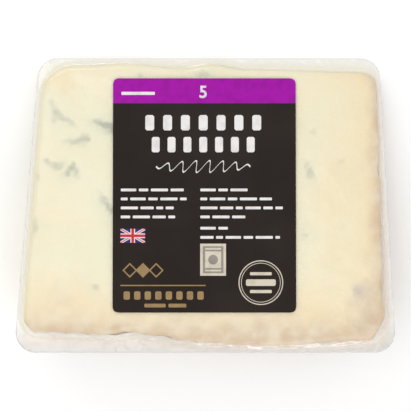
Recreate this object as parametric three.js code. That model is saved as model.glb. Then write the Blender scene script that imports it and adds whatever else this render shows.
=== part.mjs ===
// A wedge of blue cheese, vacuum packed for the shelf.
//
// The wedge is a sector of a tall round cheese. Its broad back face lies in a formed film tray, its
// broad front face is turned up, and its outer side, with the crust, stands at the front. A second
// film closes the tray: it lies on the cheese and is welded to the tray's flat rim, a trapezium with
// round corners. A label is stuck on the closing film.
//
// Millimetres, +Z up. The tray's floor lies on Z = 0, the thick crust side faces -Y and the nose +Y.
// "Face frame" below means u across and v up the front face, and w out of it.

import * as THREE from "three";
import { ImprovedNoise } from "three/addons/math/ImprovedNoise.js";

const { degToRad, lerp, clamp } = THREE.MathUtils;

// The wedge
const WEDGE_ANGLE = degToRad(18);
const AXIS_V = 62; // the round cheese's axis, up the face from the pack's middle
const FACE_CORNERS = [
  [-64.4, -43.8],
  [60.9, -47.6],
  [57.4, 44.6],
  [-57.7, 48.8],
]; // from the crust side on the left, anticlockwise
const FACE_CORNER_RADIUS = 5;
const FACE_EDGE_RADIUS = 2; // the front face's rounded edge
const BACK_EDGE_NOSE = 1.6; // the back face's rounded edge, at the nose and at the crust
const BACK_EDGE_CRUST = 3.6;
const DRAFT = Math.tan(degToRad(3)); // how fast the two ends close in towards the back
const DRAFT_HALF_WIDTH = 60;

// The cheese's surface
const CRUST_PITS = 0.9; // depth of the crust's pits and folds
const CRUST_PIT_SIZE = 6;
const CUT_WAVE = 0.3; // depth of the unevenness of a cut face
const CUT_WAVE_SIZE = 19;

// The films and the label
const FILM = 0.35;
const GAP = 0.2; // free space between one piece and the next
const PROUD_NOSE = 1.4; // how far the cheese's face stands above the tray's rim
const PROUD_CRUST = 3;
const RIM_CORNERS = [
  [-67.7, -51.7],
  [66, -51.7],
  [60.3, 51.7],
  [-59.2, 51.7],
];
const RIM_CORNER_RADIUS = 7;
const RIM_ROOT = 0.6; // from the pocket's wall to where the rim is flat
const LABEL_WIDTH = 64;
const LABEL_HEIGHT = 82.1;
const LABEL_CORNER_RADIUS = 2;
const LABEL_THICKNESS = 0.2;
const LABEL_CENTRE = [-1.1, 3.3];

// Steps along the outline's four sides and round its corners, in the order of the corners
const FINE = { sides: [36, 26, 26, 22], corner: 5 };
const PLAIN = { sides: [12, 8, 10, 8], corner: 6 };

// Points and outward normals round a four-sided outline with arcs at its corners.
function outline(corners, radius, steps) {
  const at = corners.map(([u, v]) => new THREE.Vector2(u, v));
  const arcs = at.map((corner, i) => {
    const before = at[(i + 3) % 4].clone().sub(corner).normalize();
    const after = at[(i + 1) % 4].clone().sub(corner).normalize();
    const half = before.angleTo(after) / 2;
    const inward = before.clone().add(after).normalize();
    const centre = corner.clone().addScaledVector(inward, radius / Math.sin(half));
    const from = new THREE.Vector2(before.y, -before.x).negate().angle();
    const turn = Math.PI - 2 * half;
    return Array.from({ length: steps.corner + 1 }, (_, k) => {
      const angle = from + (turn * k) / steps.corner;
      const normal = new THREE.Vector2(Math.cos(angle), Math.sin(angle));
      return { point: centre.clone().addScaledVector(normal, radius), normal };
    });
  });
  return arcs.flatMap((arc, i) => {
    const last = arc[arc.length - 1];
    const next = arcs[(i + 1) % 4][0];
    const side = Array.from({ length: steps.sides[i] - 1 }, (_, k) => ({
      point: last.point.clone().lerp(next.point, (k + 1) / steps.sides[i]),
      normal: last.normal.clone(),
    }));
    return [...arc, ...side];
  });
}

// A closed solid through rings of points, from a pole at its front to one at its back.
function loft(frontPole, rings, backPole) {
  const count = rings[0].length;
  const points = [frontPole, ...rings.flat(), backPole];
  const index = [];
  const at = (ring, i) => 1 + ring * count + (i % count);
  for (let i = 0; i < count; i++) {
    index.push(0, at(0, i), at(0, i + 1));
    for (let ring = 1; ring < rings.length; ring++) {
      index.push(at(ring - 1, i), at(ring, i), at(ring, i + 1));
      index.push(at(ring - 1, i), at(ring, i + 1), at(ring - 1, i + 1));
    }
    index.push(at(rings.length - 1, i + 1), at(rings.length - 1, i), points.length - 1);
  }
  const geometry = new THREE.BufferGeometry().setFromPoints(points);
  geometry.setIndex(index);
  geometry.computeVertexNormals();
  return geometry;
}

// Where a point of the face lies in the wedge, at a depth behind the front face. The depth runs
// round the cheese's axis, which lies along X at Y = 0 and Z = 0 until the pack is put in its place.
const radiusAt = (v) => AXIS_V - v;
const thicknessAt = (v) => radiusAt(v) * WEDGE_ANGLE;
const closingIn = (depth) => 1 - (DRAFT * Math.max(depth, 0)) / DRAFT_HALF_WIDTH;

function behindFront(point, depth) {
  const radius = radiusAt(point.y);
  const angle = WEDGE_ANGLE - depth / radius;
  const x = point.x * closingIn(depth);
  return new THREE.Vector3(x, -radius * Math.cos(angle), radius * Math.sin(angle));
}

function aboveBack(point, rise) {
  const radius = radiusAt(point.y);
  const x = point.x * closingIn(thicknessAt(point.y) - rise);
  if (rise <= 0) return new THREE.Vector3(x, -radius, rise);
  return new THREE.Vector3(x, -radius * Math.cos(rise / radius), radius * Math.sin(rise / radius));
}

const towardsCrust = (v) =>
  clamp((FACE_CORNERS[3][1] - v) / (FACE_CORNERS[3][1] - FACE_CORNERS[1][1]), 0, 1);
const backEdgeAt = (v) => lerp(BACK_EDGE_NOSE, BACK_EDGE_CRUST, towardsCrust(v));
const proudAt = (v) => lerp(PROUD_NOSE, PROUD_CRUST, towardsCrust(v));
const offset = ({ point, normal }, distance) => point.clone().addScaledVector(normal, distance);
const shrunk = ({ point }, share) => point.clone().multiplyScalar(share);
const quarter = (steps) => Array.from({ length: steps + 1 }, (_, k) => ((Math.PI / 2) * k) / steps);
const middle = new THREE.Vector2(0, 0);

// How deep the surface sinks at a place: pits and folds in the crust, a faint wave on a cut face.
const noise = new ImprovedNoise();
function crustPit(at) {
  const folds = 1 - Math.abs(noise.noise(at.x / CRUST_PIT_SIZE, at.y / CRUST_PIT_SIZE, at.z / 4));
  const lumps = noise.noise(at.x / 15 + 7, at.y / 15, at.z / 11);
  return CRUST_PITS * clamp(folds * 0.75 + lumps * 0.5 - 0.2, 0, 1);
}
function cutWave(at) {
  const wave = noise.noise(at.x / CUT_WAVE_SIZE, at.y / CUT_WAVE_SIZE + 3, at.z / CUT_WAVE_SIZE);
  return CUT_WAVE * (0.5 + 0.5 * wave);
}

// The cheese: two cut faces, a crust on the outer side and on the right end, and a cut left end.
function cheeseGeometry() {
  const edge = outline(FACE_CORNERS, FACE_CORNER_RADIUS, FINE);
  const crusty = ({ normal }) => clamp(Math.max(-normal.y, normal.x) * 3 - 1, 0, 1);
  const faceRing = (share, place) =>
    edge.map((e) => {
      const point = shrunk(e, share);
      return place(point, cutWave(place(point, 0)));
    });
  const sideRing = (inset, place) =>
    edge.map((e) => {
      const at = place(offset(e, -inset(e)), e);
      const sink = lerp(cutWave(at), crustPit(at), crusty(e));
      return place(offset(e, -inset(e) - sink), e);
    });

  const rings = [0.14, 0.3, 0.46, 0.62, 0.78, 0.9].map((share) => faceRing(share, behindFront));
  for (const turn of quarter(3)) {
    const depth = FACE_EDGE_RADIUS * (1 - Math.cos(turn));
    const inset = () => FACE_EDGE_RADIUS * (1 - Math.sin(turn));
    rings.push(sideRing(inset, (point) => behindFront(point, depth)));
  }
  const wallRings = 9;
  for (let k = 1; k < wallRings; k++) {
    const place = (point, e) => {
      const back = thicknessAt(e.point.y) - backEdgeAt(e.point.y);
      return behindFront(point, lerp(FACE_EDGE_RADIUS, back, k / wallRings));
    };
    rings.push(sideRing(() => 0, place));
  }
  for (const turn of quarter(2).reverse()) {
    const inset = (e) => backEdgeAt(e.point.y) * (1 - Math.sin(turn));
    const place = (point, e) => aboveBack(point, backEdgeAt(e.point.y) * (1 - Math.cos(turn)));
    rings.push(sideRing(inset, place));
  }
  for (const share of [0.82, 0.55, 0.25]) rings.push(faceRing(share, aboveBack));
  return loft(behindFront(middle, 0), rings, aboveBack(middle, 0));
}

// A place in the face frame, in the wedge's own frame. The front face lies at w = 0.
function fromFace(point, w) {
  const radius = radiusAt(point.y);
  const sin = Math.sin(WEDGE_ANGLE);
  const cos = Math.cos(WEDGE_ANGLE);
  return new THREE.Vector3(point.x, -radius * cos + w * sin, radius * sin + w * cos);
}
const rimTop = (v) => -proudAt(v);

// One skin of the tray, from its floor's middle up the pocket's wall to the foot of the rim.
function pocketRings(edge, clear, rimSide) {
  const floor = [0.4, 0.8].map((share) => edge.map((e) => aboveBack(shrunk(e, share), -clear)));
  const corner = quarter(4).map((turn) =>
    edge.map((e) => {
      const radius = backEdgeAt(e.point.y) + clear;
      const point = offset(e, clear - radius * (1 - Math.sin(turn)));
      return aboveBack(point, radius * (1 - Math.cos(turn)) - clear);
    }),
  );
  const wall = [0.25, 0.5, 0.75].map((share) =>
    edge.map((e) => {
      const low = thicknessAt(e.point.y) - backEdgeAt(e.point.y);
      const high = -rimSide(e.point.y);
      return behindFront(offset(e, clear), lerp(low, high, share));
    }),
  );
  const mouth = edge.map((e) => fromFace(offset(e, clear), rimSide(e.point.y)));
  return [...floor, ...corner, ...wall, mouth];
}

// The tray: a pocket of formed film round the cheese's back and sides, and its flat rim.
function trayGeometry() {
  const edge = outline(FACE_CORNERS, FACE_CORNER_RADIUS, PLAIN);
  const rim = outline(RIM_CORNERS, RIM_CORNER_RADIUS, PLAIN);
  const upper = (v) => rimTop(v);
  const lower = (v) => rimTop(v) - FILM;
  const flat = (outlinePoints, side, distance) =>
    outlinePoints.map((e) => {
      const point = offset(e, distance);
      return fromFace(point, side(point.y));
    });
  const inside = pocketRings(edge, GAP, upper);
  const outside = pocketRings(edge, GAP + FILM, lower).reverse();
  const rings = [...inside, flat(rim, upper, 0), flat(rim, lower, 0), ...outside];
  return loft(aboveBack(middle, -GAP), rings, aboveBack(middle, -GAP - FILM));
}

// The closing film: flat on the cheese's face, drawn down round its edge, and flat on the rim.
function lidGeometry() {
  const edge = outline(FACE_CORNERS, FACE_CORNER_RADIUS, PLAIN);
  const rim = outline(RIM_CORNERS, RIM_CORNER_RADIUS, PLAIN);
  const skin = (lift) => {
    const raise = ({ x, y }, w) => new THREE.Vector3(x, y, w);
    const onFace = [0.5, 0.9].map((share) => edge.map((e) => raise(shrunk(e, share), lift)));
    const bend = [0, 0.25, 0.5, 0.75].map((turn) =>
      edge.map((e) => {
        const angle = (turn * Math.PI) / 2;
        const radius = FACE_EDGE_RADIUS + lift;
        const point = offset(e, radius * Math.sin(angle) - FACE_EDGE_RADIUS);
        const arc = radius * Math.cos(angle) - FACE_EDGE_RADIUS;
        return raise(point, Math.max(arc, rimTop(e.point.y) + lift));
      }),
    );
    const foot = [[0.5, 0.3], [1, 0]].map(([out, up]) =>
      edge.map((e) => {
        const point = offset(e, lerp(GAP, GAP + FILM + RIM_ROOT, out));
        return raise(point, rimTop(e.point.y) * (1 - up) + lift);
      }),
    );
    const border = rim.map(({ point }) => raise(point, rimTop(point.y) + lift));
    return [...onFace, ...bend, ...foot, border];
  };
  const rings = [...skin(GAP + FILM), ...skin(GAP).reverse()];
  return loft(new THREE.Vector3(0, 0, GAP + FILM), rings, new THREE.Vector3(0, 0, GAP));
}

// The label: a thin sheet with round corners.
function labelGeometry() {
  const [right, top, r] = [LABEL_WIDTH / 2, LABEL_HEIGHT / 2, LABEL_CORNER_RADIUS];
  const shape = new THREE.Shape();
  shape.moveTo(r - right, -top);
  shape.lineTo(right - r, -top);
  shape.absarc(right - r, r - top, r, -Math.PI / 2, 0);
  shape.absarc(right - r, top - r, r, 0, Math.PI / 2);
  shape.absarc(r - right, top - r, r, Math.PI / 2, Math.PI);
  shape.absarc(r - right, r - top, r, Math.PI, 1.5 * Math.PI);
  return new THREE.ExtrudeGeometry(shape, {
    depth: LABEL_THICKNESS,
    bevelEnabled: false,
    curveSegments: 6,
  });
}

const cheesePaste = new THREE.MeshStandardMaterial({ color: 0xf1e7c6, roughness: 0.6 });
const film = new THREE.MeshStandardMaterial({
  color: 0xece9e2,
  roughness: 0.25,
  transparent: true,
  opacity: 0.35,
});
const printedPaper = new THREE.MeshStandardMaterial({ color: 0x302a26, roughness: 0.5 });

function piece(name, geometry, material) {
  const mesh = new THREE.Mesh(geometry, material);
  mesh.name = name;
  return mesh;
}

// The face frame's group holds what lies on the wedge's front face.
const face = new THREE.Group();
face.rotation.x = -WEDGE_ANGLE;
face.position.copy(fromFace(middle, 0));
const label = piece("label", labelGeometry(), printedPaper);
label.position.set(...LABEL_CENTRE, GAP + FILM + GAP);
face.add(piece("lid_film", lidGeometry(), film), label);

const pack = new THREE.Group();
pack.add(piece("cheese", cheeseGeometry(), cheesePaste), piece("tray_film", trayGeometry(), film), face);

// The pack stands on its tray's floor, over the middle of its own outline.
const box = new THREE.Box3().setFromObject(pack, true);
const centre = box.getCenter(new THREE.Vector3());
pack.position.set(-centre.x, -centre.y, -box.min.z);

const part = new THREE.Group();
part.add(pack);
export default part;
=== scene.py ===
import math

import bpy
from mathutils import Matrix, Vector, noise


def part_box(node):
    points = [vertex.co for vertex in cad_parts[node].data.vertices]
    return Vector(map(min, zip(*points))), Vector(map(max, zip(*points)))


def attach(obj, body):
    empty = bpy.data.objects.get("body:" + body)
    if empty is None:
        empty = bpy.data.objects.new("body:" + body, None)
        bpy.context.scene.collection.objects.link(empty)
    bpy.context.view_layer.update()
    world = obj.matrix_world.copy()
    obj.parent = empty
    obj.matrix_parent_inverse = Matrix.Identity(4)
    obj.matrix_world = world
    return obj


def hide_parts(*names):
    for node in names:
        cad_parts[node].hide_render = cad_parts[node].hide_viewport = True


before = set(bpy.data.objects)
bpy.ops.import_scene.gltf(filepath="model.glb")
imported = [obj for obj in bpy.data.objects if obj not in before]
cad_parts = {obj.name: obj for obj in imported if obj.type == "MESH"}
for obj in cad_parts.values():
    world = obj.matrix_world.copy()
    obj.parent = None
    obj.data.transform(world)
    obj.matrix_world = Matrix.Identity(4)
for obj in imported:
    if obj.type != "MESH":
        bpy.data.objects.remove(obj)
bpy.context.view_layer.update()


# The table and the camera
# A plain pale table top under soft light. The pack lies on it with its label up, and the camera
# looks straight down on the label, a few degrees towards the thick end.
def deselect_all():
    bpy.ops.object.select_all(action="DESELECT")


deselect_all()
SLOPE = math.radians(18)  # of the labelled face, which falls away towards the nose
LABEL_FROM_MIDDLE = Vector((-0.0011, 0.0033, 0.00085))  # the label's middle on the face
face_turn = Matrix.Rotation(-SLOPE, 3, "X")
label_low, label_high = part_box("label")
face_middle = (label_low + label_high) / 2 - face_turn @ LABEL_FROM_MIDDLE


def on_face(across, up, out=0.0):
    """A place on the labelled face, measured from its middle."""
    return face_middle + face_turn @ Vector((across, up, out))


def start_finish(name, roughness):
    """A new material, with its node tree and its shader."""
    finish = bpy.data.materials.new(name)
    finish.use_nodes = True
    shader = finish.node_tree.nodes["Principled BSDF"]
    shader.inputs["Roughness"].default_value = roughness
    return finish, finish.node_tree, shader


TABLE_SIZE = 4
bpy.ops.mesh.primitive_plane_add(size=TABLE_SIZE)
table = bpy.context.object
table.name = "table_top"
white_table, _, table_shader = start_finish("white_table", 0.8)
table_shader.inputs["Base Color"].default_value = (0.95, 0.95, 0.95, 1)
table.data.materials.append(white_table)

CAMERA_DISTANCE = 0.9
CAMERA_TILT = math.radians(4)  # towards the thick end, from straight above the face
VIEW_WIDTH = 0.1437  # what the camera's view spans at the label
VIEW_MIDDLE = (-0.0007, -0.0003)  # where it looks on the face
bpy.ops.object.camera_add()
camera = bpy.context.object
camera.data.lens = camera.data.sensor_width * CAMERA_DISTANCE / VIEW_WIDTH
camera.rotation_euler.x = CAMERA_TILT - SLOPE
back_from_label = Vector((0, -math.sin(CAMERA_TILT), math.cos(CAMERA_TILT))) * CAMERA_DISTANCE
camera.location = on_face(*VIEW_MIDDLE) + face_turn @ back_from_label
bpy.context.scene.camera = camera


def add_soft_light(name, place, size, power):
    bpy.ops.object.light_add(type="AREA", location=place)
    light = bpy.context.object
    light.name = name
    light.data.shape = "RECTANGLE"
    light.data.size, light.data.size_y = size
    light.data.energy = power
    light.rotation_euler = (face_middle - Vector(place)).to_track_quat("-Z", "Y").to_euler()


add_soft_light("soft_box_left", (-0.45, 0.35, 1.35), (1.0, 1.0), 4.05)
add_soft_light("soft_box_right", (0.5, -0.5, 1.25), (1.0, 1.0), 3.15)
add_soft_light("strip_front", (0.3, -1.2, 0.5), (0.9, 0.04), 1.6)
add_soft_light("strip_back", (-0.5, 1.2, 0.6), (0.9, 0.04), 1.8)
SKY_STRENGTH = 0.78
sky = bpy.data.worlds.new("pale_studio")
sky.use_nodes = True
sky_shader = sky.node_tree.nodes["Background"]
sky_shader.inputs["Color"].default_value = (1, 1, 1, 1)
sky_shader.inputs["Strength"].default_value = SKY_STRENGTH
bpy.context.scene.world = sky
bpy.context.scene.view_settings.view_transform = "Standard"


# The cheese
# A sector cut from a tall round: pale crumbly curd with blue mould along its cracks, a dry brown
# crust on its outer side and on the end at +X, and plain cuts on its other faces.
AXIS_UP_FACE = 0.062  # the round's axis, up the face from its middle
CRUST_CORNERS = ((-0.0650, -0.0447), (0.0622, -0.0476))
NOSE_CORNERS = ((0.0597, 0.0462), (-0.0580, 0.0494))
(left, left_up), (right, right_up) = CRUST_CORNERS
(nose_right, nose_right_up), (nose_left, nose_left_up) = NOSE_CORNERS
ROUND_SPREAD = (left_up - right_up) / (right - left)  # the round is a little wider at +X
MIDDLE_RADIUS = AXIS_UP_FACE - left_up - left * ROUND_SPREAD
LEFT_LEAN = (nose_left - left) / (nose_left_up - left_up)
RIGHT_LEAN = (nose_right - right) / (nose_right_up - right_up)
END_DRAFT = math.tan(math.radians(3))  # how fast the ends close in towards the back
ROUND_SIDES = 120
CORNER_RADII = {(-1, -1): 0.0058, (1, -1): 0.0090, (1, 1): 0.0048, (-1, 1): 0.0115}
FRONT_EDGE_RADIUS = 0.0018
BACK_EDGE_RADIUS = 0.0022
CURD_MESH = 0.0007
# Streaks of mould that show on the labelled face: their strength, then places along them, in mm
MOULD_STREAKS = (
    (0.70, (-54.7, 37.2), (-53.8, 33.2), (-52.2, 31.4), (-50.2, 30.5), (-46.3, 27.3)),
    (0.60, (-53.2, 31.4), (-54.2, 28.6)),
    (1.00, (-40.2, 29.4), (-36.6, 28.3), (-32.0, 26.6), (-27.0, 25.0)),
    (0.70, (-36.8, 26.4), (-33.0, 25.6), (-30.0, 25.2)),
    (0.80, (-49.7, 22.2), (-46.3, 22.0), (-42.5, 23.6), (-43.6, 21.6)),
    (0.65, (-58.6, 15.4), (-55.0, 14.6), (-52.0, 13.0), (-50.0, 15.6)),
    (0.80, (-50.7, 10.2), (-48.5, 11.2), (-47.2, 14.0), (-45.4, 9.9)),
    (0.65, (-60.4, 10.6), (-59.2, 8.6)),
    (0.90, (-37.2, 3.4), (-35.8, 0.8), (-33.7, -1.8), (-31.0, -3.5)),
    (0.65, (-40.0, -28.4), (-38.0, -29.4)),
    (0.75, (-4.2, 46.3), (-1.0, 46.0), (0.6, 45.2)),
    (0.50, (-24.4, 45.5), (-22.6, 44.9)),
    (0.55, (36.4, 26.2), (37.3, 24.9)),
    (0.60, (34.6, 14.8), (35.7, 11.4), (37.6, 8.0)),
    (0.35, (45.5, 15.8), (48.2, 14.4)),
    (0.40, (33.0, -9.4), (34.6, -12.3)),
    (0.50, (-60.8, -3.5), (-60.2, -7.8), (-62.0, -12.6)),
)
# Stained spots on the labelled face, most of them by the crust: strength, reach and place, in mm
RIND_STAINS = (
    (1.0, 15, (58, -41)),
    (0.8, 8, (57, -30)),
    (0.35, 11, (-60, -40)),
    (0.35, 20, (-50, -36)),
    (0.35, 9, (-38, -42)),
    (0.4, 8, (58.5, -18)),
    (0.3, 8, (59, -6)),
    (0.35, 7, (57.5, 14)),
)
PURPLE_STAIN = (0.9, 4.2, (52.4, -31.0))


def work_on(piece):
    deselect_all()
    piece.select_set(True)
    bpy.context.view_layer.objects.active = piece


def cut_away(plane_place, plane_normal, fill=True):
    """Cuts the mesh being edited by a plane and drops the side that the normal points to."""
    bpy.ops.mesh.select_all(action="SELECT")
    bpy.ops.mesh.bisect(
        plane_co=plane_place, plane_no=plane_normal, use_fill=fill, clear_outer=True
    )


def apply_modifier(piece, kind, **settings):
    modifier = piece.modifiers.new(kind.lower(), kind)
    for setting, value in settings.items():
        setattr(modifier, setting, value)
    work_on(piece)
    bpy.ops.object.modifier_apply(modifier=modifier.name)


def round_edges(piece, is_edge, radius, segments):
    """Bevels the edges between two faces whose normals pass the test."""
    sides = {}
    for face in piece.data.polygons:
        for key in face.edge_keys:
            sides.setdefault(key, []).append(face.normal.copy())
    work_on(piece)
    bpy.ops.object.mode_set(mode="EDIT")
    bpy.ops.mesh.select_mode(type="EDGE")
    bpy.ops.mesh.select_all(action="DESELECT")
    bpy.ops.object.mode_set(mode="OBJECT")
    for edge in piece.data.edges:
        first, second = sides[edge.key]
        edge.select = is_edge(first, second) or is_edge(second, first)
    bpy.ops.object.mode_set(mode="EDIT")
    bpy.ops.mesh.bevel(offset=radius, segments=segments, affect="EDGES")
    bpy.ops.object.mode_set(mode="OBJECT")


def cut_wedge(name):
    """A smooth wedge of the cheese's shape, cut from a round by planes."""
    block_length = (right - left) * 1.2
    bpy.ops.mesh.primitive_cone_add(
        vertices=ROUND_SIDES,
        radius1=MIDDLE_RADIUS - ROUND_SPREAD * block_length / 2,
        radius2=MIDDLE_RADIUS + ROUND_SPREAD * block_length / 2,
        depth=block_length,
        location=on_face(0, AXIS_UP_FACE),
        rotation=(0, math.pi / 2, 0),
    )
    wedge = bpy.context.object
    wedge.name = name
    bpy.ops.object.transform_apply()
    bpy.ops.object.mode_set(mode="EDIT")
    up_face, out = face_turn @ Vector((0, 1, 0)), face_turn @ Vector((0, 0, 1))
    cut_away(face_middle, out)
    cut_away(on_face(0, AXIS_UP_FACE), (0, 0, -1))
    across_nose = (nose_left_up - nose_right_up) / (nose_right - nose_left)
    nose_normal = Matrix.Rotation(SLOPE / 2, 3, "X") @ up_face + Vector((across_nose, 0, 0))
    cut_away(on_face(nose_right, nose_right_up), nose_normal)
    to_right = Vector((1, 0, 0))
    cut_away(on_face(left, left_up), -to_right + up_face * LEFT_LEAN - out * END_DRAFT)
    cut_away(on_face(right, right_up), to_right - up_face * RIGHT_LEAN - out * END_DRAFT)
    bpy.ops.object.mode_set(mode="OBJECT")

    def is_end(normal):
        return abs(normal.x) > 0.9

    def is_front(normal):
        return normal.dot(out) > 0.999

    def is_back(normal):
        return normal.z < -0.999

    def is_corner(first, second):
        faces_turn = first.angle(second) > math.radians(45)
        return faces_turn and is_end(first) and abs(second.x) < 0.5 and abs(second.y) > 0.6

    for (x_side, y_side), radius in CORNER_RADII.items():
        def is_this_corner(first, second):
            on_these_sides = first.x * x_side > 0 and second.y * y_side > 0
            return is_corner(first, second) and on_these_sides

        round_edges(wedge, is_this_corner, radius, 6)
    round_edges(wedge, lambda a, b: is_front(a) and not is_front(b), FRONT_EDGE_RADIUS, 3)
    round_edges(wedge, lambda a, b: is_back(a) and not is_back(b), BACK_EDGE_RADIUS, 3)
    return wedge


def noise_texture(name, kind, size, **settings):
    texture = bpy.data.textures.new(name, kind)
    texture.noise_scale = size
    for setting, value in settings.items():
        setattr(texture, setting, value)
    return texture


def weigh(piece, name, weight_of):
    """A vertex group that holds what the function makes of each vertex."""
    group = piece.vertex_groups.new(name=name)
    for vertex in piece.data.vertices:
        group.add([vertex.index], weight_of(vertex), "REPLACE")


def clamp(value):
    return min(max(value, 0.0), 1.0)


face_back = face_turn.transposed()


def from_middle(place):
    """How far across, up and out of the labelled face a place lies from its middle."""
    return face_back @ (place - face_middle)


# Where a side bulges past its straight edge, or lies behind it: by how much, middle, reach
CRUST_SWELLS = (
    (0.0021, 0.016, 0.038), (0.0011, 0.022, 0.050), (0.0009, -0.006, 0.012),
    (-0.0012, -0.026, 0.007), (0.0005, -0.036, 0.006),
)
NOSE_SWELLS = ((0.0016, 0.002, 0.011), (0.0010, -0.028, 0.016))
SWELL_DEPTH = 0.025  # below the labelled face, where the side is even again
SWELL_RUN = 0.04  # how far up the face a swell takes to fade out


def formed_wedge(name, cell):
    """The wedge remeshed into small even faces, with the swells of its crust and its nose."""
    wedge = cut_wedge(name)
    apply_modifier(wedge, "REMESH", mode="VOXEL", voxel_size=cell)
    for vertex in wedge.data.vertices:
        across, up, out = from_middle(vertex.co)
        for side, swells in (-1, CRUST_SWELLS), (1, NOSE_SWELLS):
            swell = 0
            for height, middle, reach in swells:
                swell += height * clamp(1 - ((across - middle) / reach) ** 2) ** 2
            swell *= clamp(0.5 + side * up / SWELL_RUN) * clamp(1 + out / SWELL_DEPTH)
            vertex.co += face_turn @ Vector((0, side * swell, 0))
        vertex.co.z = max(vertex.co.z, on_face(0, AXIS_UP_FACE).z)  # its back stays flat
    return wedge


cheese = formed_wedge("blue_cheese", CURD_MESH)
TO_MM = 1000
STREAK_REACH, HALO_REACH = 2.4, 7.5  # how far mould and the tinge round it fade out, in mm
STREAK_DEPTH = 2.5  # how far down from the face they do, in mm
STREAK_FRAY, FRAY_SIZE = 0.8, 1.6  # how far mould strays from its line, and over what length
FRAY_SEED = 1  # without one the frayed places would move from run to run


def streak_at(place, streak, reach):
    """How strongly a streak shows at a place on the face. It fades sideways and to its ends."""
    strength, *spots = streak
    best = 0
    for step, (start, end) in enumerate(zip(spots, spots[1:])):
        start, run = Vector(start), Vector(end) - Vector(start)
        share = clamp((place - start).dot(run) / run.length_squared)
        nearness = clamp(1 - ((place - start - run * share).length / reach) ** 2) ** 2
        off_middle = 2 * (step + share) / (len(spots) - 1) - 1
        best = max(best, nearness * (1 - 0.5 * off_middle ** 2))
    return strength * best


noise.seed_set(FRAY_SEED)
for name, reach in ("mould_streak", STREAK_REACH), ("mould_halo", HALO_REACH):
    attribute = cheese.data.attributes.new(name, "FLOAT", "POINT")
    for vertex in cheese.data.vertices:
        across, up, out = from_middle(vertex.co) * TO_MM
        fray = noise.noise_vector(Vector((across, up, 0)) / FRAY_SIZE) * STREAK_FRAY
        on_front = Vector((across, up)) + fray.xy
        strongest = max(streak_at(on_front, streak, reach) for streak in MOULD_STREAKS)
        attribute.data[vertex.index].value = strongest * clamp(1 + out / STREAK_DEPTH)


def faces_crust(vertex):
    """How squarely a vertex faces the crust sides: 1 on them, none on the cuts."""
    across, up, _ = face_back @ vertex.normal
    return math.hypot(max(-up, 0), max(across, 0))


def crust_weight(vertex):
    return clamp(faces_crust(vertex) * 3 - 1)


CRUST_BARE = 0.0016  # below the labelled face, down to where the cut has broken the crust away
crust_cover = cheese.data.attributes.new("crust_cover", "FLOAT", "POINT")
for vertex in cheese.data.vertices:
    covered_from = 3.6 if vertex.normal.z > 0 else 2.4
    out = from_middle(vertex.co).z
    covered = clamp(faces_crust(vertex) * 5 - covered_from) * clamp(-out / CRUST_BARE - 1)
    crust_cover.data[vertex.index].value = covered

weigh(cheese, "crust", crust_weight)
for name, stains in ("rind_stain", RIND_STAINS), ("purple_stain", (PURPLE_STAIN,)):
    attribute = cheese.data.attributes.new(name, "FLOAT", "POINT")
    for vertex in cheese.data.vertices:
        on_front = (from_middle(vertex.co) * TO_MM).xy
        share = 0
        for strength, reach, spot in stains:
            nearness = clamp(1 - ((on_front - Vector(spot)).length / reach) ** 2)
            share = max(share, strength * nearness ** 1.5)
        attribute.data[vertex.index].value = share

# Adding the first vertex group moves the attributes' data, so it is read only after that
streaks = cheese.data.attributes["mould_streak"].data
weigh(cheese, "mould", lambda vertex: streaks[vertex.index].value)
weigh(cheese, "curd", lambda vertex: 1 - crust_weight(vertex))
crust_folds = noise_texture("crust_folds", "VORONOI", 0.006, distance_metric="DISTANCE")
crust_lumps = noise_texture("crust_lumps", "CLOUDS", 0.009, noise_depth=3)
crust_grain = noise_texture("crust_grain", "STUCCI", 0.0025, turbulence=8)
curd_crumb = noise_texture("curd_crumb", "CLOUDS", 0.0022, noise_depth=3)
curd_wave = noise_texture("curd_wave", "CLOUDS", 0.02, noise_depth=1)
for texture, group, depth, proud in (
    (crust_folds, "crust", 0.0010, 0.2),
    (crust_lumps, "crust", 0.0009, 0.5),
    (crust_grain, "crust", 0.0007, 0.5),
    (curd_crumb, "curd", 0.00015, 0),
    (curd_wave, "curd", 0.0003, 0),
    (curd_crumb, "mould", 0.0006, 0),
):
    apply_modifier(
        cheese, "DISPLACE", texture=texture, vertex_group=group, strength=-depth, mid_level=proud
    )
bpy.ops.object.shade_smooth()


def add_node(tree, kind, inputs=(), **settings):
    """Adds a node; inputs holds (socket, value or the output that feeds it)."""
    node = tree.nodes.new("ShaderNode" + kind)
    for setting, value in settings.items():
        setattr(node, setting, value)
    for socket, value in inputs:
        if isinstance(value, bpy.types.NodeSocket):
            tree.links.new(value, node.inputs[socket])
        else:
            node.inputs[socket].default_value = value
    return node


def noise_of(tree, place, scale, detail=3.0, distortion=0.0):
    inputs = ("Vector", place), ("Scale", scale), ("Detail", detail), ("Distortion", distortion)
    return add_node(tree, "TexNoise", inputs).outputs["Fac"]


def noise_about(tree, place, scale, detail, middle=0.5):
    """A noise that swings about zero."""
    return sum_up(tree, "SUBTRACT", noise_of(tree, place, scale, detail), middle)


def read_elsewhere(tree, place, shift):
    """The same pattern read from elsewhere, so that two noises don't coincide."""
    shifted = ("Vector", place), ("Location", (shift, shift, shift))
    return add_node(tree, "Mapping", shifted).outputs[0]


def sum_up(tree, operation, *values):
    return add_node(tree, "Math", tuple(enumerate(values)), operation=operation).outputs[0]


def multiply(tree, product, *others):
    for other in others:
        product = sum_up(tree, "MULTIPLY", product, other)
    return product


def object_place(tree):
    return add_node(tree, "TexCoord").outputs["Object"]


def face_axes(tree, place):
    """How far across, up and out of the labelled face a place lies from its middle."""
    turn, shift = ("Rotation", (SLOPE, 0, 0)), ("Location", -(face_back @ face_middle))
    turned = add_node(tree, "Mapping", (("Vector", place), turn, shift)).outputs[0]
    return add_node(tree, "SeparateXYZ", ((0, turned),)).outputs


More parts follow.
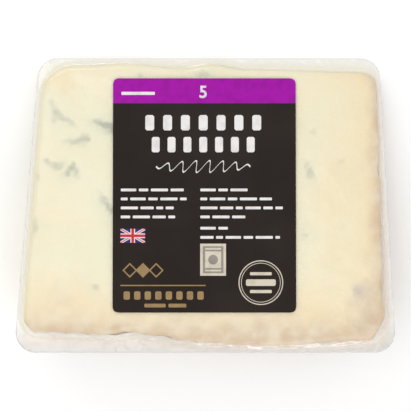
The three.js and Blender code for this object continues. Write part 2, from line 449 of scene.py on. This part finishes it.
def measured(tree, attribute):
    """What was written to each vertex of the piece under an attribute's name."""
    return add_node(tree, "Attribute", attribute_name=attribute).outputs["Fac"]


def fade(tree, value, start, end, low=0.0, high=1.0):
    inputs = tuple(enumerate((value, start, end, low, high)))
    return add_node(tree, "MapRange", inputs, interpolation_type="SMOOTHSTEP").outputs[0]


def blend_colour(tree, share, below, above):
    inputs = (0, share), (6, below), (7, above)
    return add_node(tree, "Mix", inputs, data_type="RGBA").outputs[2]


def bump(tree, height, distance, strength=1.0, normal=None):
    inputs = [("Height", height), ("Distance", distance), ("Strength", strength)]
    if normal:
        inputs.append(("Normal", normal))
    return add_node(tree, "Bump", inputs).outputs[0]


def dress(piece, finish):
    piece.data.materials.clear()
    piece.data.materials.append(finish)


PALE_CURD = (0.84, 0.765, 0.55, 1)
GREEN_CURD = (0.77, 0.745, 0.53, 1)
WARM_CURD = (0.83, 0.66, 0.39, 1)
UNDER_CRUST = (0.58, 0.405, 0.245, 1)
UNDER_CRUST_PALE = (0.72, 0.61, 0.45, 1)
CRUST_TAN = (0.47, 0.30, 0.15, 1)
CRUST_BROWN = (0.27, 0.165, 0.085, 1)
CRUST_PIT = (0.12, 0.07, 0.04, 1)
CRUST_BLOOM = (0.60, 0.52, 0.40, 1)
MOULD_HALO = (0.66, 0.68, 0.53, 1)
MOULD_GREY = (0.17, 0.21, 0.19, 1)
PURPLE_GREY = (0.50, 0.40, 0.36, 1)

cheese_finish, tree, shader = start_finish("blue_cheese", 0.55)
place = object_place(tree)
across, up, out = face_axes(tree, place)
# Depth below the crust of the outer side, from the round's own axis, and below that of the end
SIDE_CRUST_SHARE = 0.5  # the side's crust is twice as thick as the end's
CRUST_MEETING = 0.006  # how far from the corner between them the two crusts run together
CRUST_WANDER = 0.006  # how far a crust's inner border strays
below_axis = sum_up(tree, "SUBTRACT", up, AXIS_UP_FACE)
radial = add_node(tree, "CombineXYZ", ((1, below_axis), (2, out))).outputs[0]
from_axis = add_node(tree, "VectorMath", ((0, radial),), operation="LENGTH").outputs["Value"]
round_radius = sum_up(tree, "MULTIPLY_ADD", across, ROUND_SPREAD, MIDDLE_RADIUS)
side_depth = sum_up(tree, "SUBTRACT", round_radius, from_axis)
end_line = sum_up(tree, "MULTIPLY_ADD", up, RIGHT_LEAN, right - right_up * RIGHT_LEAN)
end_line = sum_up(tree, "MULTIPLY_ADD", out, END_DRAFT, end_line)
end_depth = sum_up(tree, "SUBTRACT", end_line, across)
side_depth = multiply(tree, side_depth, SIDE_CRUST_SHARE)
depth = sum_up(tree, "SMOOTH_MIN", side_depth, end_depth, CRUST_MEETING)
ragged = noise_about(tree, place, 130, 5)
crust_depth = sum_up(tree, "MULTIPLY_ADD", ragged, CRUST_WANDER, depth)
# The curd: yellower towards the crust and the end at +X, cooler in clouds away from it
mottle = noise_of(tree, place, 38, 4)
curd = blend_colour(tree, fade(tree, mottle, 0.42, 0.66, 0, 0.6), PALE_CURD, WARM_CURD)
curd = blend_colour(tree, fade(tree, across, 0.02, 0.075, 0, 0.7), curd, WARM_CURD)
cool = noise_of(tree, read_elsewhere(tree, place, 0.3), 30, 4)
cool = fade(tree, cool, 0.42, 0.62, 0, 0.8)
cool = multiply(tree, cool, fade(tree, across, -0.02, 0.05, 1, 0.4))
curd = blend_colour(tree, cool, curd, GREEN_CURD)
curd = blend_colour(tree, fade(tree, crust_depth, 0.002, 0.012, 0.85, 0), curd, WARM_CURD)
rind_mottle = fade(tree, noise_of(tree, place, 170, 5), 0.3, 0.7)
under_crust = blend_colour(tree, rind_mottle, UNDER_CRUST, UNDER_CRUST_PALE)
rind_stain = sum_up(tree, "MULTIPLY_ADD", ragged, 0.9, measured(tree, "rind_stain"))
rind_stain = fade(tree, rind_stain, 0.05, 0.9)
ripe = sum_up(tree, "MAXIMUM", fade(tree, crust_depth, 0.0, 0.0062, 0.95, 0), rind_stain)
curd = blend_colour(tree, ripe, curd, under_crust)
purple_stain = multiply(tree, measured(tree, "purple_stain"), rind_mottle)
curd = blend_colour(tree, purple_stain, curd, PURPLE_GREY)
# The crust: brown and tan, with a dry pale bloom in places and dark pits
BLOOM_SHARE = 0.75
tanned = fade(tree, noise_of(tree, place, 120, 6), 0.38, 0.62)
crust = blend_colour(tree, tanned, CRUST_BROWN, CRUST_TAN)
dusty = fade(tree, noise_of(tree, place, 55, 3), 0.42, 0.6, 0.25, 1)
specks = fade(tree, noise_of(tree, place, 420, 6), 0.45, 0.62)
crust = blend_colour(tree, multiply(tree, dusty, BLOOM_SHARE, specks), crust, CRUST_BLOOM)
pits = fade(tree, noise_of(tree, place, 650, 3), 0.36, 0.44, 0.85, 0)
crust = blend_colour(tree, pits, crust, CRUST_PIT)
cover = sum_up(tree, "MULTIPLY_ADD", ragged, 0.8, measured(tree, "crust_cover"))
on_crust = fade(tree, cover, 0.3, 0.7)
colour = blend_colour(tree, on_crust, curd, crust)
# Mould: the streaks on the labelled face, and veins of their own on the other cuts. A vein is
# where a noise passes its middle, widened to pockets and broken off by a finer one.
STREAK_RAGGED, VEIN_SWELL, VEIN_RAGGED = 0.8, 0.4, 0.09
CORE_SHARE, TINGE_SHARE = 0.75, 0.7  # how much of the curd's colour mould and its tinge take
patchy = fade(tree, noise_of(tree, place, 230, 3), 0.3, 0.6, 0.6, 1)
frayed = noise_about(tree, place, 520, 4)
streak = sum_up(tree, "MULTIPLY_ADD", frayed, STREAK_RAGGED, measured(tree, "mould_streak"))
streak = multiply(tree, fade(tree, streak, 0.05, 1.1), patchy)
vein_field = noise_of(tree, place, 62, 3, 1.4)
vein_line = sum_up(tree, "ABSOLUTE", sum_up(tree, "SUBTRACT", vein_field, 0.5))
vein_swell = noise_about(tree, place, 105, 3, 0.47)
vein_line = sum_up(tree, "MULTIPLY_ADD", vein_swell, VEIN_SWELL, vein_line)
vein_fray = noise_about(tree, place, 480, 4)
vein_line = sum_up(tree, "MULTIPLY_ADD", vein_fray, VEIN_RAGGED, vein_line)
vein_groups = fade(tree, noise_of(tree, place, 30, 2), 0.45, 0.6)
away_from_face = fade(tree, out, -0.004, -0.0015, 1, 0)
below_crust = fade(tree, crust_depth, 0.002, 0.006)
vein_groups = multiply(tree, vein_groups, away_from_face, below_crust)
vein = multiply(tree, fade(tree, vein_line, -0.02, 0.03, 0.85, 0), vein_groups, patchy)
vein_tinge = multiply(tree, fade(tree, vein_line, -0.01, 0.09, 0.8, 0), vein_groups)
cloudy = fade(tree, noise_of(tree, place, 150, 4), 0.35, 0.65, 0.3, 1)
tinge = multiply(tree, measured(tree, "mould_halo"), cloudy)
tinge = sum_up(tree, "MAXIMUM", tinge, vein_tinge)
core = sum_up(tree, "MAXIMUM", streak, vein)
colour = blend_colour(tree, multiply(tree, tinge, TINGE_SHARE), colour, MOULD_HALO)
colour = blend_colour(tree, multiply(tree, core, CORE_SHARE), colour, MOULD_GREY)
tree.links.new(colour, shader.inputs["Base Color"])
crumb = bump(tree, noise_of(tree, place, 900, 4), 0.0003, 0.5)
leathery = multiply(tree, noise_of(tree, place, 480, 8), on_crust)
tree.links.new(bump(tree, leathery, 0.0015, 1.0, crumb), shader.inputs["Normal"])
tree.links.new(fade(tree, on_crust, 0, 1, 0.5, 0.85), shader.inputs["Roughness"])
shader.inputs["Subsurface Weight"].default_value = 0.12
shader.inputs["Subsurface Radius"].default_value = (1.0, 0.7, 0.35)
shader.inputs["Subsurface Scale"].default_value = 0.003
dress(cheese, cheese_finish)
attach(cheese, "root")
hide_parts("cheese")


# The tray film
# The base film is heated and drawn down into a pocket round the wedge. It grips the cheese's back
# and sides, and its flat rim, cut as a trapezium with round corners, sticks out all round.
RIM_CORNERS = ((-0.0676, -0.0516), (0.0659, -0.0516), (0.0602, 0.0516), (-0.0591, 0.0516))
RIM_CORNER_RADIUS = 0.007
RIM_DROP_AT_NOSE = 0.0014  # how far the rim lies below the labelled face
RIM_DROP_AT_CRUST = 0.003
rim_fall = (RIM_DROP_AT_CRUST - RIM_DROP_AT_NOSE) / (nose_left_up - right_up)
TRAY_GRIP = 0.0001  # from the cheese to the film's inside
TRAY_FILM = 0.0002
TRAY_MESH = 0.0012


def rim_level(up, above=0.0):
    """How far out of the face the rim lies, at a height up the face."""
    return above - RIM_DROP_AT_NOSE - rim_fall * (nose_left_up - up)


def outline_tangents(outline, radius, cuts=10):
    """Where straight cuts touch an outline with round corners, and which way they face."""
    tangents = []
    outline = [Vector(corner) for corner in outline]
    for before, corner, after in zip(outline[-1:] + outline, outline, outline[1:] + outline[:1]):
        first, second = (corner - before).normalized(), (after - corner).normalized()
        turn = first.angle(second)
        arc_middle = corner + (second - first).normalized() * radius / math.cos(turn / 2)
        normal = Vector((first.y, -first.x))
        for cut in range(cuts + 1):
            lean = Matrix.Rotation(turn * cut / cuts, 2) @ normal
            tangents.append((arc_middle + lean * radius, lean))
    return tangents


def trim_sheet(outline, radius, cuts=10):
    """Cuts the flat sheet being edited to an outline, by a straight cut for every tangent."""
    for touch, lean in outline_tangents(outline, radius, cuts):
        cut_away((touch.x, touch.y, 0), (lean.x, lean.y, 0), fill=False)


def lay_on_face(piece):
    """Turns a sheet that was worked flat with the labelled face."""
    piece.data.transform(Matrix.Translation(face_middle) @ face_turn.to_4x4())


def join_to(piece, other):
    work_on(piece)
    other.select_set(True)
    bpy.ops.object.join()


tray = formed_wedge("formed_tray_film", TRAY_MESH)
DRAW = {"target": cheese, "wrap_method": "NEAREST_SURFACEPOINT", "wrap_mode": "OUTSIDE"}
apply_modifier(tray, "DISPLACE", strength=TRAY_GRIP, mid_level=0)
apply_modifier(tray, "SHRINKWRAP", offset=TRAY_GRIP * 2, **DRAW)
apply_modifier(tray, "SMOOTH", factor=0.5, iterations=2)
apply_modifier(tray, "SHRINKWRAP", offset=TRAY_GRIP, **DRAW)
# Folds that the drawing leaves run up the walls: a noise stretched upwards by an empty's frame
FOLD_LENGTH, FOLD_WIDTH, FOLD_DEPTH = 5, 0.005, 0.0007  # the length as a multiple of the width
WALL_END = 0.003  # below the rim, where the folds have reached their depth
bpy.ops.object.empty_add()
stretch = bpy.context.object
stretch.scale = (1, 1, FOLD_LENGTH)
bpy.context.view_layer.update()


def wall_weight(vertex):
    """1 on the upright walls, fading towards the pocket's mouth, back and corners."""
    _, up, out = from_middle(vertex.co)
    return clamp(1.3 - 3 * abs(vertex.normal.z)) * clamp((rim_level(up) - out) / WALL_END)


weigh(tray, "walls", wall_weight)
draw_folds = noise_texture("draw_folds", "CLOUDS", FOLD_WIDTH, noise_depth=1)
apply_modifier(
    tray, "DISPLACE", texture=draw_folds, texture_coords="OBJECT", texture_coords_object=stretch,
    vertex_group="walls", strength=FOLD_DEPTH, mid_level=0.25,
)
bpy.data.objects.remove(stretch)
work_on(tray)
bpy.ops.object.mode_set(mode="EDIT")
rim_normal = face_turn @ Vector((0, -rim_fall, 1))
cut_away(on_face(0, 0, rim_level(0)), rim_normal, fill=False)
bpy.ops.object.mode_set(mode="OBJECT")
MOUTH_RADIUS = 0.002
RIM_EDGE = 0.001  # from the rim's outline to where it may be smoothed in full


def to_outline(vertex):
    """How far inside the rim's outline a vertex lies."""
    on_front = from_middle(vertex.co).xy
    return min((touch - on_front).dot(lean) for touch, lean in rim_tangents)


def mouth_weight(vertex):
    """1 on the rim and the wall by it, and none on the rim's outline."""
    _, up, out = from_middle(vertex.co)
    return clamp(to_outline(vertex) / RIM_EDGE) * clamp(1 - (rim_level(up) - out) / MOUTH_RADIUS)


# The rim grows out of the pocket's mouth in rings, along rays from the face's middle
RIM_RINGS = 5
faces_at = {}
for face in tray.data.polygons:
    for key in face.edge_keys:
        faces_at[key] = faces_at.get(key, 0) + 1
    face.select = False
for vertex in tray.data.vertices:
    vertex.select = False
for edge in tray.data.edges:
    edge.select = faces_at[edge.key] < 2
rim_tangents = outline_tangents(RIM_CORNERS, RIM_CORNER_RADIUS)
for ring in range(RIM_RINGS):
    bpy.ops.object.mode_set(mode="EDIT")
    bpy.ops.mesh.select_mode(type="EDGE")
    bpy.ops.mesh.extrude_edges_indiv()
    bpy.ops.object.mode_set(mode="OBJECT")
    for vertex in tray.data.vertices:
        if vertex.select:
            ray = from_middle(vertex.co).xy
            reach = min(
                touch.dot(lean) / ray.dot(lean) for touch, lean in rim_tangents if ray.dot(lean) > 0
            )
            across, up = ray * (1 + (reach - 1) / (RIM_RINGS - ring))
            vertex.co = on_face(across, up, rim_level(up))
weigh(tray, "mouth", mouth_weight)
apply_modifier(tray, "SMOOTH", factor=0.5, iterations=4, vertex_group="mouth")
apply_modifier(tray, "SOLIDIFY", thickness=TRAY_FILM, offset=1)
bpy.ops.object.shade_smooth()

FILM_HAZE = (0.78, 0.76, 0.71, 1)
# Painted shade: the free film's haze is darker along the crust side
FILM_HAZE_PAINTED_SHADE = (0.61, 0.58, 0.545, 1)
# Painted light: where the film clings, it takes the colour of the curd or the crust beneath it
FILM_PAINTED_CURD_LIGHT = (0.78, 0.74, 0.57, 1)
FILM_PAINTED_CRUST_LIGHT = (0.71, 0.60, 0.48, 1)
FILM_IOR = 2.2  # makes up for the gloss that a thin haze loses


def measure_leaving(film):
    """The share of the way from the cheese to the film's outline that each vertex has gone."""
    shares = film.data.attributes.new("off_cheese", "FLOAT", "POINT").data
    for vertex in film.data.vertices:
        _, nearest, _, _ = cheese.closest_point_on_mesh(vertex.co)
        gap = (vertex.co - nearest).length
        shares[vertex.index].value = gap / (gap + max(to_outline(vertex), 0.0001))


def film_finish(name, clinging, free, crinkle, gloss):
    """Clear film with a milky haze: the share of light that one skin of it stops.

    The haze goes from clinging to free as the film leaves the cheese. Where it clings, its colour
    is painted light: the colour of the curd or crust below. Where it is free, it is painted darker
    along the crust side as painted shade.
    The crinkles are as deep as given where the film has left the labelled face.
    """
    finish, tree, shader = start_finish(name, 0.15)
    shader.inputs["Specular IOR Level"].default_value = gloss
    shader.inputs["IOR"].default_value = FILM_IOR
    place = object_place(tree)
    across, up, out = face_axes(tree, place)
    leaving = measured(tree, "off_cheese")
    by_side, by_end = fade(tree, up, -0.05, -0.04, 1, 0), fade(tree, across, 0.055, 0.062)
    by_crust = sum_up(tree, "MAXIMUM", by_side, by_end)
    # Painted light: the clinging film is coloured like the curd or crust beneath it
    clinging_cheese_light = blend_colour(tree, by_crust, FILM_PAINTED_CURD_LIGHT, FILM_PAINTED_CRUST_LIGHT)
    # Painted shade: the free film is coloured darker along the crust side
    free_haze_and_shade = blend_colour(tree, by_side, FILM_HAZE, FILM_HAZE_PAINTED_SHADE)
    tint = blend_colour(tree, fade(tree, leaving, 0.15, 0.9), clinging_cheese_light, free_haze_and_shade)
    tree.links.new(tint, shader.inputs["Base Color"])
    ripple = bump(tree, noise_of(tree, place, 130, 3), 0.0008, 0.4)
    drawn_down = fade(tree, out, -0.0022, -0.0004, 1, 0)
    stretched = add_node(tree, "Mapping", (("Vector", place), ("Scale", (1, 1, 0.4)))).outputs[0]
    crinkles = multiply(tree, noise_of(tree, stretched, 330, 2, 0.6), drawn_down)
    ripple = bump(tree, crinkles, crinkle, 1.0, ripple)
    tree.links.new(ripple, shader.inputs["Normal"])
    haze = fade(tree, leaving, 0.08, 0.4, clinging, free)
    cloudy = fade(tree, noise_of(tree, place, 60, 3), 0.3, 0.7, 0.85, 1.15)
    haze = multiply(tree, cloudy, haze)
    facing = add_node(tree, "LayerWeight", (("Blend", 0.25),)).outputs["Facing"]
    tree.links.new(sum_up(tree, "MULTIPLY_ADD", facing, 0.04, haze), shader.inputs["Alpha"])
    return finish


def let_light_through(film):
    """Thin film scatters light on as it passes, so it throws no shadow of its own."""
    film.visible_shadow = False
    film.visible_diffuse = False


measure_leaving(tray)
let_light_through(tray)
dress(tray, film_finish("milky_tray_film", 0.10, 0.17, 0.0016, 0.9))
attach(tray, "root")
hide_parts("tray_film")


# The lid film
# The closing film lies on the cheese's face and is sucked down round its edge on to the rim, to
# which it is welded. It lies taut across the face, and puckers a little where it turns down.
LID_MESH = 0.0008
LID_LIFT = 0.0002  # from the cheese to the film
WELD_LIFT = 0.0001 - LID_LIFT  # the weld leaves next to nothing between the rim and the film
LID_FILM = 0.0002
SHEET_SIZE = (0.136, 0.104)  # before it is cut to the rim's outline
FORMER_PLATE = 0.2
SHEET_START = 0.002  # above the face, from where the sheet is drawn down
DROP = {
    "wrap_method": "PROJECT", "use_project_z": True,
    "use_negative_direction": True, "use_positive_direction": False,
}

former = formed_wedge("sealing_former", TRAY_MESH)
bpy.ops.mesh.primitive_plane_add(size=FORMER_PLATE)
plate = bpy.context.object
for vertex in plate.data.vertices:
    vertex.co.z = rim_level(vertex.co.y, WELD_LIFT)
lay_on_face(plate)
join_to(former, plate)

cells = [round(length / LID_MESH) for length in SHEET_SIZE]
bpy.ops.mesh.primitive_grid_add(x_subdivisions=cells[0], y_subdivisions=cells[1], size=1)
lid = bpy.context.object
lid.name = "drawn_lid_film"
lid.scale = (*SHEET_SIZE, 1)
bpy.ops.object.transform_apply()
bpy.ops.object.mode_set(mode="EDIT")
trim_sheet(RIM_CORNERS, RIM_CORNER_RADIUS)
bpy.ops.object.mode_set(mode="OBJECT")
lid.location = on_face(0, 0, SHEET_START)
lid.rotation_euler.x = -SLOPE
bpy.context.view_layer.update()
apply_modifier(lid, "SHRINKWRAP", target=former, offset=LID_LIFT, **DROP)
apply_modifier(lid, "SMOOTH", factor=0.5, iterations=16, use_x=False, use_y=False)
SAG_DEPTH, SAG_SIZE = 0.0003, 0.016
PUCKER_DEPTH, PUCKER_SIZE = 0.0006, 0.0028


def above_rim(vertex):
    """How far a vertex of the lid film has left the rim: none on it, 1 from a millimetre up."""
    _, up, out = from_middle(lid.matrix_world @ vertex.co)
    return clamp((out - rim_level(up, 0.0003)) / 0.001)


def foot_weight(vertex):
    """1 where the film stands off the cheese between its crust edge and the rim."""
    _, up, out = from_middle(lid.matrix_world @ vertex.co)
    off_rim = clamp((out - rim_level(up, 0.0002)) / 0.0005)
    return off_rim * clamp(-out / 0.0006) * clamp(-up / 0.01 - 3)


weigh(lid, "above_rim", above_rim)
apply_modifier(lid, "SHRINKWRAP", offset=LID_LIFT, vertex_group="above_rim", **DRAW)
weigh(lid, "foot", foot_weight)
film_sag = noise_texture("film_sag", "CLOUDS", SAG_SIZE, noise_depth=2)
film_pucker = noise_texture("film_pucker", "CLOUDS", PUCKER_SIZE, noise_depth=2)
for texture, group, depth, level in (
    (film_sag, "above_rim", SAG_DEPTH, 0),
    (film_pucker, "foot", PUCKER_DEPTH, 0.2),
):
    apply_modifier(
        lid, "DISPLACE", texture=texture, vertex_group=group, strength=depth, mid_level=level
    )
apply_modifier(lid, "SOLIDIFY", thickness=LID_FILM, offset=1)
bpy.ops.object.transform_apply()
bpy.ops.object.shade_smooth()
bpy.data.objects.remove(former)

measure_leaving(lid)
let_light_through(lid)
dress(lid, film_finish("milky_lid_film", 0.13, 0.55, 0.0004, 0.5))
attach(lid, "root")
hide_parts("lid_film")


# The label
# A rectangle of satin paper with round corners, stuck on the lid film and following its sag. It
# is printed in dark brown all over.
LABEL_SIZE = (0.064, 0.0821)
LABEL_RADIUS = 0.002
LABEL_PAPER = 0.00012
LABEL_LIFT = 0.00006  # from the film to the paper, which stands for the glue
DROP_START = 0.004  # above the face
MM = 0.001


def lay_on_lid(piece, lift, thickness):
    """Drops a sheet, worked flat about the label's middle, on the lid film and thickens it."""
    piece.data.transform(Matrix.Translation(LABEL_FROM_MIDDLE.xy.to_3d()))
    piece.location = on_face(0, 0, DROP_START)
    piece.rotation_euler.x = -SLOPE
    bpy.context.view_layer.update()
    apply_modifier(piece, "SHRINKWRAP", target=lid, offset=lift, **DROP)
    apply_modifier(piece, "SOLIDIFY", thickness=thickness, offset=1)
    bpy.ops.object.transform_apply()


def flat_sheet(length, height, cell=0.0015):
    """A flat grid about the label's middle, fine enough to follow the film."""
    cells = [max(round(side / cell), 1) for side in (length, height)]
    bpy.ops.mesh.primitive_grid_add(x_subdivisions=cells[0], y_subdivisions=cells[1], size=1)
    sheet = bpy.context.object
    sheet.scale = (length, height, 1)
    bpy.ops.object.transform_apply()
    return sheet


def trim_corners(sheet, length, height, radius, cuts):
    across, up = length / 2, height / 2
    bpy.ops.object.mode_set(mode="EDIT")
    outline = (-across, -up), (across, -up), (across, up), (-across, up)
    trim_sheet(outline, radius, cuts)
    bpy.ops.object.mode_set(mode="OBJECT")


label = flat_sheet(*LABEL_SIZE, cell=0.001)
label.name = "paper_label"
trim_corners(label, *LABEL_SIZE, LABEL_RADIUS, 5)
lay_on_lid(label, LABEL_LIFT, LABEL_PAPER)

PRINT_GLOSS = 0.1
label_finish, tree, shader = start_finish("dark_label", 0.5)
shader.inputs["Specular IOR Level"].default_value = PRINT_GLOSS
place = object_place(tree)
LABEL_BROWN = (0.018, 0.012, 0.010, 1)
LABEL_BROWN_RUBBED = (0.025, 0.018, 0.015, 1)
rubbed = fade(tree, noise_of(tree, place, 35), 0.35, 0.7)
tint = blend_colour(tree, rubbed, LABEL_BROWN, LABEL_BROWN_RUBBED)
tree.links.new(tint, shader.inputs["Base Color"])
fibres = bump(tree, noise_of(tree, place, 1500, 2), 0.00005, 0.3)
tree.links.new(fibres, shader.inputs["Normal"])
dress(label, label_finish)
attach(label, "root")
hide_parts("label")


# The label's print
# Flat fields of ink, a hair thick: a purple band with a strength number, bars and blocks in place
# of words, a small flag, gold ornaments, a cream stamp and a ring. Places are in mm from the
# label's middle, and what is printed over other ink is a layer up.
INK = 0.00002
BAR_ROUNDING = 0.3  # of a bar's short side
WORD_LENGTHS, WORD_SPACE = (4.6, 2.4, 5.4, 3.3, 6.0), 0.9


def printed(sheet, across, up):
    sheet.data.transform(Matrix.Translation((across * MM, up * MM, 0)))
    return sheet


def bar(across, up, length, height):
    """A printed bar with rounded corners, given by its middle and size."""
    sheet = flat_sheet(length * MM, height * MM)
    radius = min(length, height) * MM * BAR_ROUNDING
    trim_corners(sheet, length * MM, height * MM, radius, 2)
    return printed(sheet, across, up)


def words(start, up, length, height):
    """A line of bars as long as words, from its left end."""
    bars, at, end = [], start, start + length
    while end - at > 1:
        turn = (len(bars) + round(abs(up))) % len(WORD_LENGTHS)
        word = min(WORD_LENGTHS[turn], end - at)
        bars.append(bar(at + word / 2, up, word, height))
        at += word + WORD_SPACE
    return bars


def blocks(across, up, length, height, count, share):
    """A row of upright blocks, each a share of its place in the row."""
    pitch = length / count
    left = across - length / 2 + pitch / 2
    return [bar(left + pitch * i, up, pitch * share, height) for i in range(count)]


def ring(across, up, radius, thickness, sides, hollow=True):
    """A ring, a disc where it isn't hollow, or a lozenge where it has four sides."""
    bpy.ops.mesh.primitive_circle_add(vertices=sides, radius=radius * MM, fill_type="NGON")
    sheet = bpy.context.object
    bpy.ops.object.mode_set(mode="EDIT")
    bpy.ops.mesh.select_all(action="SELECT")
    bpy.ops.mesh.inset(thickness=thickness * MM)
    if hollow:
        bpy.ops.mesh.delete(type="FACE")
    bpy.ops.object.mode_set(mode="OBJECT")
    return printed(sheet, across, up)


FIGURE_SHARE = 0.7  # of the type's size, which is how tall a figure stands


def strength_number(across, up, height):
    bpy.ops.object.text_add()
    number = bpy.context.object
    number.data.body = "5"
    number.data.size = height * MM / FIGURE_SHARE
    number.data.align_x, number.data.align_y = "CENTER", "CENTER"
    number.data.offset = 0.02 * number.data.size
    bpy.ops.object.convert(target="MESH")
    return printed(bpy.context.object, across, up)


def flourish(across, up, length, height, waves, line):
    """A slanting wavy stroke that swells in its middle."""
    sheet = flat_sheet(length * MM, line * MM, cell=0.3 * MM)
    for vertex in sheet.data.vertices:
        along = vertex.co.x / (length * MM)
        swing = math.sin(along * waves * 2 * math.pi) * math.cos(along * math.pi) ** 0.5
        vertex.co.y += swing * height * MM / 2
        vertex.co.x += vertex.co.y * 0.5
    return printed(sheet, across, up)


def slanted_bar(field, width, turn, across, up):
    """A bar from corner to corner of a field, trimmed to it."""
    length, height = field
    sheet = flat_sheet(math.hypot(length, height) * 1.3 * MM, width * MM)
    sheet.data.transform(Matrix.Rotation(math.atan2(height, length) * turn, 4, "Z"))
    trim_corners(sheet, length * MM, height * MM, 0, 1)
    return printed(sheet, across, up)


PURPLE_BAND = 8.8  # the band's height
band_up = LABEL_SIZE[1] / MM / 2 - PURPLE_BAND / 2
band = flat_sheet(*LABEL_SIZE, cell=0.001)
trim_corners(band, *LABEL_SIZE, LABEL_RADIUS, 5)
bpy.ops.object.mode_set(mode="EDIT")
cut_away((0, (band_up - PURPLE_BAND / 2) * MM, 0), (0, -1, 0), fill=False)
bpy.ops.object.mode_set(mode="OBJECT")

TEXT_LEFT, TEXT_RIGHT = -29.2, -1.4
LINE_PITCH, LINE_HEIGHT = 3.15, 0.95
white_print = [
    bar(-23.2, band_up - 0.9, 11.7, 1.1),
    strength_number(-0.4, band_up - 0.6, 4.2),
    *blocks(-0.4, 25.4, 43.7, 5.4, 7, 0.5),
    *blocks(-0.4, 17.7, 38.8, 5.4, 7, 0.5),
    flourish(-0.4, 10.0, 33, 4.2, 7, 0.5),
]
for line, length in enumerate((22.0, 23.0, 18.5, 20.6)):
    white_print += words(TEXT_LEFT, 1.8 - line * LINE_PITCH, length, LINE_HEIGHT)
for line, length in enumerate((17.2, 25.0, 28.8, 16.2)):
    white_print += words(TEXT_RIGHT, 1.8 - line * LINE_PITCH, length, LINE_HEIGHT)
for up, length in ((-11.6, 10.6), (-14.8, 27.8)):
    white_print += words(TEXT_RIGHT, up, length, LINE_HEIGHT)

FLAG, FLAG_PLACE = (8.6, 4.9), (-25.0, -14.25)
flag_field = [printed(flat_sheet(FLAG[0] * MM, FLAG[1] * MM), *FLAG_PLACE)]


def saltire(width):
    return [slanted_bar(FLAG, width, turn, *FLAG_PLACE) for turn in (1, -1)]


def cross(width):
    bars = flat_sheet(FLAG[0] * MM, width * MM), flat_sheet(width * MM, FLAG[1] * MM)
    return [printed(sheet, *FLAG_PLACE) for sheet in bars]


gold_print = [
    *(ring(-26.0 + 4.6 * i, -26.3, 2.6, 0.45, 4, hollow=i != 1) for i in range(3)),
    bar(-14.4, -31.6, 29.7, 0.4),
    *blocks(-14.2, -35.1, 29.4, 2.9, 8, 0.6),
    bar(-17.2, -38.6, 7.4, 1.3),
    bar(-9.4, -38.6, 6.2, 1.3),
]
STAMP_PLACE = stamp_across, stamp_up = (3.05, -22.6)
BADGE_PLACE = badge_across, badge_up = (19.7, -30.6)
BADGE_RADIUS = 7.8
cream_print = [
    printed(flat_sheet(9.0 * MM, 11.2 * MM), *STAMP_PLACE),
    ring(*BADGE_PLACE, BADGE_RADIUS, 0.35, 48),
    ring(*BADGE_PLACE, BADGE_RADIUS - 0.9, 0.2, 48),
    bar(*BADGE_PLACE, 10.4, 2.3),
    bar(badge_across, badge_up + 3.1, 7.6, 1.1),
    bar(badge_across, badge_up - 3.1, 7.6, 1.1),
]
stamp_frame = [printed(flat_sheet(7.2 * MM, 9.4 * MM), *STAMP_PLACE)]
stamp_field = [
    printed(flat_sheet(5.6 * MM, 5.8 * MM), *STAMP_PLACE),
    bar(stamp_across, stamp_up + 3.8, 5.6, 0.6),
    bar(stamp_across, stamp_up - 3.8, 5.6, 0.6),
]
stamp_motif = [ring(*STAMP_PLACE, 1.7, 0.5, 24, hollow=False)]
PURPLE = (0.345, 0.006, 0.355, 1)
WHITE, RED, BLUE = (0.78, 0.76, 0.75, 1), (0.62, 0.03, 0.05, 1), (0.035, 0.03, 0.15, 1)
GOLD, CREAM, GREY = (0.33, 0.22, 0.10, 1), (0.64, 0.58, 0.47, 1), (0.30, 0.27, 0.23, 1)
THIN_INK = 0.86  # how bright the ink is where it is thin

for name, colour, layer, sheets in (
    ("purple_band", PURPLE, 0, [band]),
    ("white_print", WHITE, 1, white_print),
    ("gold_print", GOLD, 0, gold_print),
    ("cream_print", CREAM, 0, cream_print),
    ("stamp_frame", GREY, 1, stamp_frame),
    ("stamp_field", CREAM, 2, stamp_field),
    ("stamp_motif", GREY, 3, stamp_motif),
    ("flag_field", BLUE, 0, flag_field),
    ("flag_white_saltire", WHITE, 1, saltire(0.9)),
    ("flag_red_saltire", RED, 2, saltire(0.32)),
    ("flag_white_cross", WHITE, 3, cross(1.6)),
    ("flag_red_cross", RED, 4, cross(0.95)),
):
    ink = sheets[0]
    for sheet in sheets[1:]:
        join_to(ink, sheet)
    ink.name = name
    lay_on_lid(ink, LABEL_LIFT + LABEL_PAPER + INK * (layer + 0.5), INK)
    finish, tree, shader = start_finish(name, 0.5)
    shader.inputs["Specular IOR Level"].default_value = PRINT_GLOSS
    place = object_place(tree)
    thin_ink = tuple(channel * THIN_INK for channel in colour[:3]) + (1,)
    patchy = fade(tree, noise_of(tree, place, 400), 0.4, 0.7)
    tree.links.new(blend_colour(tree, patchy, colour, thin_ink), shader.inputs["Base Color"])
    dress(ink, finish)
    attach(ink, "root")
